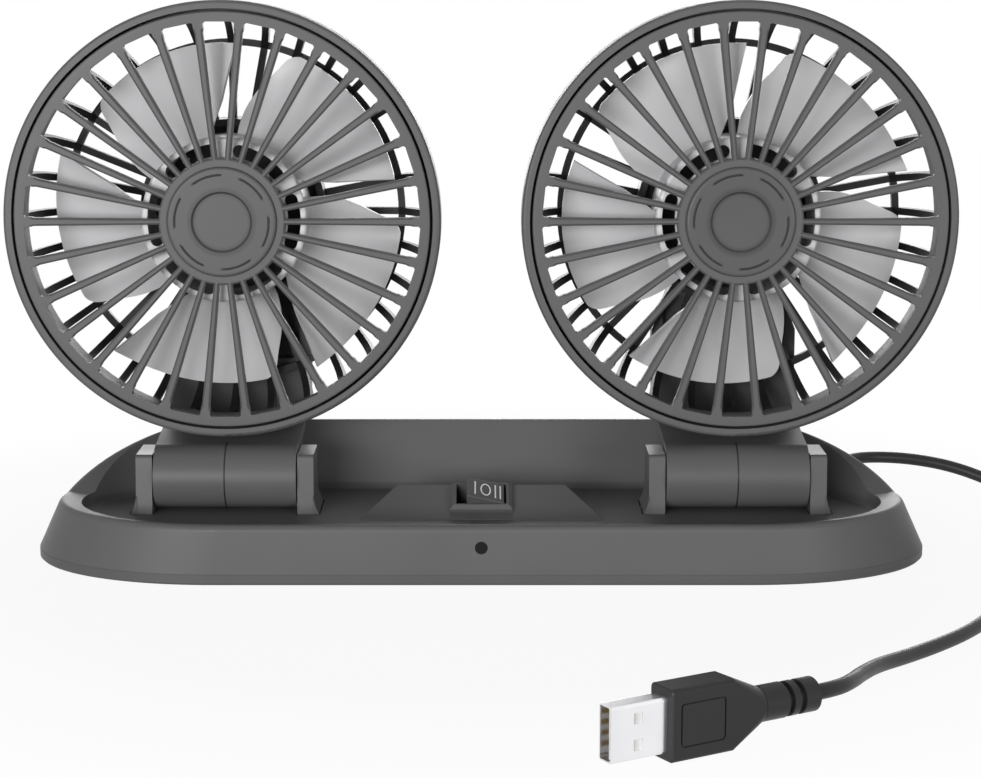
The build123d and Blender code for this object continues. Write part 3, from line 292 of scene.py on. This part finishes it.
materials = {
    "grey_plastic": moulded("satin_grey", GREY, 0.46),
    "cap_plastic": painted_dish_shade_cap(),
    "dark_plastic": moulded("dark_grey", (0.084, 0.084, 0.086), 0.5),
    "rocker_plastic": moulded("rocker_black", (0.07, 0.07, 0.071), 0.36, grain_strength=0.12),
    "blade_plastic": moulded("blade_grey", (0.6, 0.6, 0.61), 0.34, grain_strength=0.08,
                             mottling=0.03, coat=0.2),
    "steel": moulded("plated_steel", (0.84, 0.84, 0.86), 0.24, 0.06, 1400, 0.00001, 0.12,
                     metallic=1.0, mottling=0.05, stretch=(1, 1, 12)),
    "washer_nylon": moulded("nylon", (0.68, 0.68, 0.66), 0.45),
    "rubber": moulded("foot_rubber", (0.02, 0.02, 0.02), 0.8, grain_strength=0.5,
                      grain_depth=0.00006),
    "black_moulding": moulded("black_flex", (0.018, 0.018, 0.019), 0.42, grain_strength=0.2),
    "board_green": moulded("solder_mask", (0.02, 0.12, 0.05), 0.3, coat=0.5),
    "component_black": moulded("package_black", (0.03, 0.03, 0.03), 0.55),
    "brass": moulded("contact_brass", (0.72, 0.52, 0.24), 0.25, 0.05, 1200, 0.00001, 0.1,
                     metallic=1.0),
    "lens_dark": moulded("tinted_lens", (0.006, 0.005, 0.005), 0.3, 0.02, grain_strength=0.02,
                         specular=0.15),
}
painted_shade_cage_material = painted_shade_cage()
# painted shade: the near-black of the tubes that lie in the cap grooves
painted_groove_shade_material = moulded("painted_groove_shade", (0.03, 0.03, 0.03), 0.6)
white_paint = moulded("white_paint", (0.85, 0.85, 0.85), 0.5, grain_strength=0.05, mottling=0.02)

slot_of = {row["node"]: row["material_slot"] for row in frame["record"]["subparts"]}
for name, piece in nodes.items():
    material = painted_shade_cage_material if name.endswith("_rear_cage") else materials[slot_of[name]]
    if piece.data.materials:
        piece.data.materials[0] = material
    else:
        piece.data.materials.append(material)
cord.data.materials.append(materials["black_moulding"])


# The two halves of an arm meet in a fine groove round the middle of the hinge barrel
def barrel_seam(side, middle):
    bpy.ops.mesh.primitive_torus_add(major_segments=96, minor_segments=8, major_radius=8.97 * MM,
                                     minor_radius=0.2 * MM, rotation=(0, math.pi / 2, 0),
                                     location=(middle * MM, HINGE_Y * MM, HINGE_Z * MM))
    seam = bpy.context.object
    seam.name = side + "_barrel_seam"
    seam.data.materials.append(materials["black_moulding"])
    seam.data.shade_smooth()
    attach(seam, side + "_head")


# The photo's slots run 1 mm further out than the CAD grille's and have tighter corners there
SLOT_COUNT = 30
SLOT_STEP = 12  # degrees
HALF_SPOKE = 1.3
CUT_FRONT_Y, CUT_BACK_Y = -7.5, -2.6  # in front of the grille's face and behind its spokes
# distance from the axis and cut off the corner, going out along a slot's side
CUT_SIDE = ((48.0, 0), (53.7, 0), (54.2, 0.5))
WELD_M = 0.000002
SHARP_DEGREES = 28


def slot_outline(middle, along):
    """corners of the outer part of one slot, in metres"""
    outline = []
    sides = [(radius, corner, 1) for radius, corner in CUT_SIDE]
    sides += [(radius, corner, -1) for radius, corner in reversed(CUT_SIDE)]
    for radius, corner, sign in sides:
        across = sign * (radius * math.sin(math.radians(SLOT_STEP / 2)) - HALF_SPOKE - corner)
        outline.append(((middle + radius * math.cos(along) - across * math.sin(along)) * MM,
                        (HEAD_Z + radius * math.sin(along) + across * math.cos(along)) * MM))
    return outline


def slot_cutter(middle):
    """prisms that lengthen all the slots"""
    shape = bmesh.new()
    for i in range(SLOT_COUNT):
        outline = slot_outline(middle, math.radians(SLOT_STEP * (i + 0.5)))
        count = len(outline)
        front = [shape.verts.new((x, CUT_FRONT_Y * MM, z)) for x, z in outline]
        back = [shape.verts.new((x, CUT_BACK_Y * MM, z)) for x, z in outline]
        shape.faces.new(front)
        shape.faces.new(back[::-1])
        for k in range(count):
            j = (k + 1) % count
            shape.faces.new((front[k], back[k], back[j], front[j]))
    bmesh.ops.recalc_face_normals(shape, faces=shape.faces)
    mesh = bpy.data.meshes.new("cutter")
    shape.to_mesh(mesh)
    shape.free()
    return linked("cutter", mesh)


def widen_slots(side, middle):
    """a copy of the CAD grille with longer slots, in the CAD grille's place"""
    grille = nodes[side + "_front_grille"]
    cutter = slot_cutter(middle)
    weld = grille.modifiers.new("weld", "WELD")
    weld.merge_threshold = WELD_M
    cut = grille.modifiers.new("cut", "BOOLEAN")
    cut.operation = "DIFFERENCE"
    cut.solver = "EXACT"
    cut.object = cutter
    depsgraph = bpy.context.evaluated_depsgraph_get()
    wider = bpy.data.meshes.new_from_object(grille.evaluated_get(depsgraph))
    grille.modifiers.clear()
    bpy.data.meshes.remove(cutter.data)
    wider.materials.clear()
    wider.materials.append(materials["grey_plastic"])
    if "custom_normal" in wider.attributes:
        wider.attributes.remove(wider.attributes["custom_normal"])
    wider.shade_smooth()
    wider.set_sharp_from_angle(angle=math.radians(SHARP_DEGREES))
    piece = linked(side + "_wide_grille", wider)
    piece.matrix_world = grille.matrix_world.copy()
    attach(piece, side + "_head")
    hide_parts(side + "_front_grille")


# Painted shade: dark tubes laid in the six arc grooves of each hub cap, where their shade falls
GROOVE_R, GROOVE_Y = 12.9, -6.83
GROOVE_COUNT = 6
GROOVE_FIRST, GROOVE_HALF, GROOVE_POINT_STEP = 48, 18, 2  # degrees
THREAD_R = 0.27


def painted_groove_shade(side, middle):
    data = tube_data(side + "_painted_groove_shade", 2)
    for k in range(GROOVE_COUNT):
        start = GROOVE_FIRST + 360 // GROOVE_COUNT * k - GROOVE_HALF
        turns = [math.radians(start + offset)
                 for offset in range(0, 2 * GROOVE_HALF + 1, GROOVE_POINT_STEP)]
        add_run(data, "POLY",
                [(middle + GROOVE_R * math.cos(turn), GROOVE_Y, HEAD_Z + GROOVE_R * math.sin(turn))
                 for turn in turns], THREAD_R)
    piece = linked(side + "_painted_groove_shade", data)
    piece.data.materials.append(painted_groove_shade_material)
    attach(piece, side + "_head")


for side, middle in (("left", -HEAD_X), ("right", HEAD_X)):
    barrel_seam(side, middle)
    widen_slots(side, middle)
    painted_groove_shade(side, middle)


# Marks on the rocker: I, O and II in white paint, along the rocker (x) and up its slope (u)
SLOPE = math.radians(22.4)
TILT = math.radians(14)
ROCKER_PIVOT = Vector((0, -10.160, 15.941))
ROCKER_RISE = 5.0
PAINT = 0.03
up_slope = Vector((0, math.cos(SLOPE), math.sin(SLOPE)))
square_up = Vector((0, -math.sin(SLOPE), math.cos(SLOPE)))
rocker_out = square_up * math.cos(TILT) + Vector((1, 0, 0)) * math.sin(TILT)
rocker_right = up_slope.cross(rocker_out)
rocker_top = ROCKER_PIVOT + rocker_out * ROCKER_RISE


def painted(name, loops):
    """thin raised paint: strips between two loops of points in the rocker's top plane"""
    vertices, faces = [], []
    for outer, inner in loops:
        count, base = len(outer), len(vertices)
        for loop in (outer, inner):
            for height in (0.0, PAINT):
                for x, u in loop:
                    place = rocker_top + rocker_right * x + up_slope * u + rocker_out * height
                    vertices.append(place * MM)
        for i in range(count):
            j = (i + 1) % count
            low_out, high_out, low_in, high_in = (base + k * count for k in range(4))
            faces.append((high_out + i, high_out + j, high_in + j, high_in + i))
            faces.append((low_out + i, low_out + j, high_out + j, high_out + i))
            faces.append((low_in + j, low_in + i, high_in + i, high_in + j))
    mesh = bpy.data.meshes.new(name)
    mesh.from_pydata(vertices, [], faces)
    piece = linked(name, mesh)
    piece.data.materials.append(white_paint)
    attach(piece, "rocker")


def ellipse(x, u, half_width, half_height, count=40):
    angles = [2 * math.pi * i / count for i in range(count)]
    return [(x + half_width * math.cos(a), u + half_height * math.sin(a)) for a in angles]


def bar(x, u, half_width, half_height):
    """outer and inner loop of an upright bar; the inner one lies along its middle"""
    corners = [(-1, -1), (1, -1), (1, 1), (-1, 1)]
    outer = [(x + a * half_width, u + b * half_height) for a, b in corners]
    return outer, [(x, u + b * half_height * 0.9) for _, b in corners]


painted("mark_one", [bar(-3.0, 0, 0.2, 3.0)])
painted("mark_off", [(ellipse(0, 0, 1.5, 2.8), ellipse(0, 0, 1.12, 2.35))])
painted("mark_two", [bar(2.75, 0, 0.2, 3.1), bar(4.15, 0, 0.2, 3.1)])


# Floor, world and lights
def seen_white(tree, kind, output, plain, limit=None):
    """white to the camera, to reflections and through clear things, and plain to all other rays"""
    path = tree.nodes.new("ShaderNodeLightPath")
    seen = math_of(tree, "MAXIMUM", path.outputs["Is Camera Ray"], path.outputs["Is Glossy Ray"])
    seen = math_of(tree, "MAXIMUM", seen, path.outputs["Is Transmission Ray"])
    if limit:
        seen = math_of(tree, "MULTIPLY", seen, limit)
    white = tree.nodes.new(kind)
    white.inputs["Color"].default_value = (1, 1, 1, 1)
    white.inputs["Strength"].default_value = 1.0
    mix = tree.nodes.new("ShaderNodeMixShader")
    tree.links.new(seen, mix.inputs["Fac"])
    tree.links.new(plain, mix.inputs[1])
    tree.links.new(white.outputs[0], mix.inputs[2])
    tree.links.new(mix.outputs[0], output.inputs["Surface"])


# near the object the floor is a little less than white, so that its shadow shows
NEAR_WHITE = 0.93
NEAR_M, FAR_M = 0.13, 0.24


def make_floor():
    bpy.ops.mesh.primitive_plane_add(size=8, location=(0, 0, -0.0001))
    floor = bpy.context.object
    floor.name = "floor"
    material, tree, principled = shader("pale_floor")
    principled.inputs["Base Color"].default_value = (0.4, 0.4, 0.4, 1)
    principled.inputs["Roughness"].default_value = 0.8
    place = tree.nodes.new("ShaderNodeTexCoord")
    away = vector_of(tree, "LENGTH", place.outputs["Object"])
    whiteness = mapped(tree, away.outputs["Value"], NEAR_M, FAR_M, NEAR_WHITE, 1.0)
    seen_white(tree, "ShaderNodeEmission", tree.nodes["Material Output"], principled.outputs[0],
               whiteness)
    floor.data.materials.append(material)


def make_world():
    world = bpy.data.worlds.new("studio")
    scene.world = world
    world.use_nodes = True
    tree = world.node_tree
    surround = tree.nodes["Background"]
    surround.inputs["Color"].default_value = (1, 1, 1, 1)
    surround.inputs["Strength"].default_value = 0.06
    seen_white(tree, "ShaderNodeBackground", tree.nodes["World Output"], surround.outputs[0])


def softbox(name, place, target, width, height, power):
    data = bpy.data.lights.new(name, "AREA")
    data.shape = "RECTANGLE"
    data.size, data.size_y = width, height
    data.energy = power
    lamp = linked(name, data)
    lamp.location = place
    direction = Vector(target) - Vector(place)
    lamp.rotation_euler = direction.to_track_quat("-Z", "Y").to_euler()


make_floor()
make_world()
softbox("key", (-0.55, -1.3, 0.22), (0, 0, 0.07), 0.8, 0.35, 16)
softbox("fill", (0.75, -1.2, 0.18), (0, 0, 0.07), 0.7, 0.35, 6.5)
softbox("top", (0, 0.1, 1.1), (0, 0, 0.05), 1.0, 0.7, 0.3)
softbox("back", (0, 1.2, 0.25), (0, 0, 0.08), 1.0, 0.4, 6)

scene.view_settings.view_transform = "Standard"
